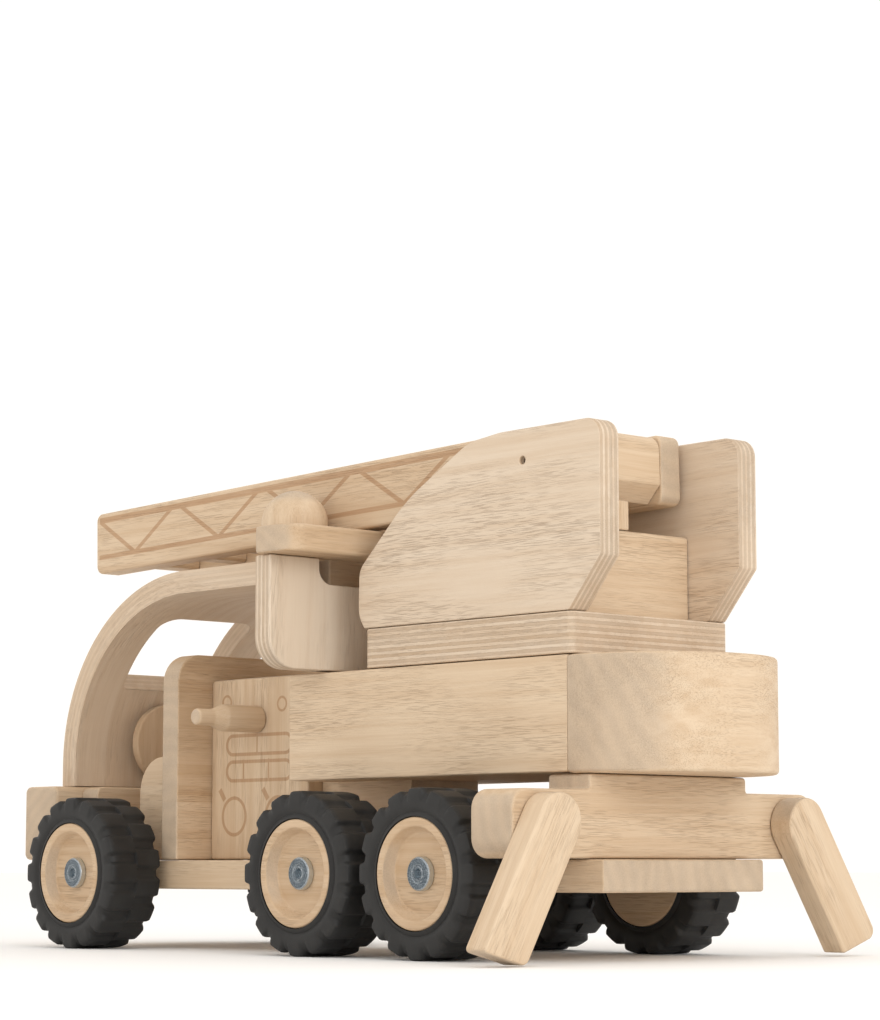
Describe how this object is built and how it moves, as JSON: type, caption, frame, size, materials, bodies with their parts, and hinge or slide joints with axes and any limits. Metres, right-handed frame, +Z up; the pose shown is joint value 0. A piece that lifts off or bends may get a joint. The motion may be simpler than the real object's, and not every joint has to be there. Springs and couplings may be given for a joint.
{
  "type": "toy fire engine",
  "caption": "Natural wood toy fire engine with rubber tyres, bent plywood cab, turntable ladder, operator platform with a peg figure and folding rear legs.",
  "frame": {"origin": "on the floor, at the middle of the whole length and width", "axes": "+X towards the cab and the front bumper, +Y to the truck's left, +Z up"},
  "size_m": [0.417, 0.2302, 0.2203],
  "materials": {
    "natural_wood": "fine-sanded, unlacquered pale hardwood",
    "plywood": "birch plywood with bare layered edges",
    "tyre_rubber": "moulded black rubber",
    "zinc_steel": "bright zinc plate"
  },
  "bodies": {
    "chassis": {"chassis_plank": "natural_wood", "front_bumper": "natural_wood", "cab_bulkhead": "natural_wood", "cab_seat": "natural_wood", "cab_wall": "natural_wood", "equipment_block": "natural_wood", "cab_arch": "plywood", "deck_side_left": "natural_wood", "deck_side_right": "natural_wood", "deck_core": "natural_wood", "deck_rear_block": "natural_wood", "stabiliser_beam": "natural_wood", "leg_dowel_left": "natural_wood", "leg_dowel_right": "natural_wood", "turntable_pin": "natural_wood", "bolt_front_left": "zinc_steel", "bolt_front_right": "zinc_steel", "bolt_mid_left": "zinc_steel", "bolt_mid_right": "zinc_steel", "bolt_rear_left": "zinc_steel", "bolt_rear_right": "zinc_steel"},
    "turntable": {"turntable_plate": "plywood", "cheek_left": "plywood", "cheek_right": "plywood", "turret_block": "natural_wood", "ladder_stop": "natural_wood", "platform_arm": "natural_wood", "platform_panel": "plywood", "guard_board": "natural_wood", "platform_block": "natural_wood", "platform_floor_left": "natural_wood", "platform_floor_right": "natural_wood", "ladder_pin": "zinc_steel"},
    "ladder": {"rail_left": "natural_wood", "rail_right": "natural_wood", "ladder_tail_block": "natural_wood", "rung_1": "natural_wood", "rung_2": "natural_wood", "rung_3": "natural_wood", "rung_4": "natural_wood", "rung_5": "natural_wood", "rung_6": "natural_wood", "rung_7": "natural_wood"},
    "left_leg": {"leg_left": "natural_wood"},
    "right_leg": {"leg_right": "natural_wood"},
    "nozzle": {"hose_nozzle": "natural_wood"},
    "figure": {"firefighter": "natural_wood"},
    "steering": {"steering_disc": "natural_wood"},
    "wheel_front_left": {"tyre_front_left": "tyre_rubber", "hub_front_left": "natural_wood"},
    "wheel_front_right": {"tyre_front_right": "tyre_rubber", "hub_front_right": "natural_wood"},
    "wheel_mid_left": {"tyre_mid_left": "tyre_rubber", "hub_mid_left": "natural_wood"},
    "wheel_mid_right": {"tyre_mid_right": "tyre_rubber", "hub_mid_right": "natural_wood"},
    "wheel_rear_left": {"tyre_rear_left": "tyre_rubber", "hub_rear_left": "natural_wood"},
    "wheel_rear_right": {"tyre_rear_right": "tyre_rubber", "hub_rear_right": "natural_wood"}
  },
  "joints": [
    {"name": "spin_front_left", "type": "hinge", "parent": "chassis", "child": "wheel_front_left", "pos_m": [0.1415, 0.06635, 0.035], "axis": [0, 1, 0], "continuous": true},
    {"name": "spin_front_right", "type": "hinge", "parent": "chassis", "child": "wheel_front_right", "pos_m": [0.1415, -0.06635, 0.035], "axis": [0, 1, 0], "continuous": true},
    {"name": "spin_mid_left", "type": "hinge", "parent": "chassis", "child": "wheel_mid_left", "pos_m": [-0.024, 0.06635, 0.035], "axis": [0, 1, 0], "continuous": true},
    {"name": "spin_mid_right", "type": "hinge", "parent": "chassis", "child": "wheel_mid_right", "pos_m": [-0.024, -0.06635, 0.035], "axis": [0, 1, 0], "continuous": true},
    {"name": "spin_rear_left", "type": "hinge", "parent": "chassis", "child": "wheel_rear_left", "pos_m": [-0.1, 0.06635, 0.035], "axis": [0, 1, 0], "continuous": true},
    {"name": "spin_rear_right", "type": "hinge", "parent": "chassis", "child": "wheel_rear_right", "pos_m": [-0.1, -0.06635, 0.035], "axis": [0, 1, 0], "continuous": true},
    {"name": "turntable_turn", "type": "hinge", "parent": "chassis", "child": "turntable", "pos_m": [-0.094, 0, 0.13], "axis": [0, 0, 1], "continuous": true},
    {"name": "ladder_lift", "type": "hinge", "parent": "turntable", "child": "ladder", "pos_m": [-0.1294, 0, 0.2042], "axis": [0, -1, 0], "range_deg": [0, 70]},
    {"name": "leg_fold_left", "type": "hinge", "parent": "chassis", "child": "left_leg", "pos_m": [-0.1728, 0.074, 0.0554], "axis": [1, 0, 0], "range_deg": [0, 145]},
    {"name": "leg_fold_right", "type": "hinge", "parent": "chassis", "child": "right_leg", "pos_m": [-0.1728, -0.072, 0.0554], "axis": [-1, 0, 0], "range_deg": [0, 145]},
    {"name": "nozzle_pull", "type": "slide", "parent": "chassis", "child": "nozzle", "axis": [0, 1, 0], "range_m": [0, 0.016]},
    {"name": "figure_lift", "type": "slide", "parent": "turntable", "child": "figure", "axis": [0, 0, 1], "range_m": [0, 0.08]},
    {"name": "steering_turn", "type": "hinge", "parent": "chassis", "child": "steering", "pos_m": [0.1836, 0, 0.0985], "axis": [1, 0, 0], "continuous": true}
  ]
}
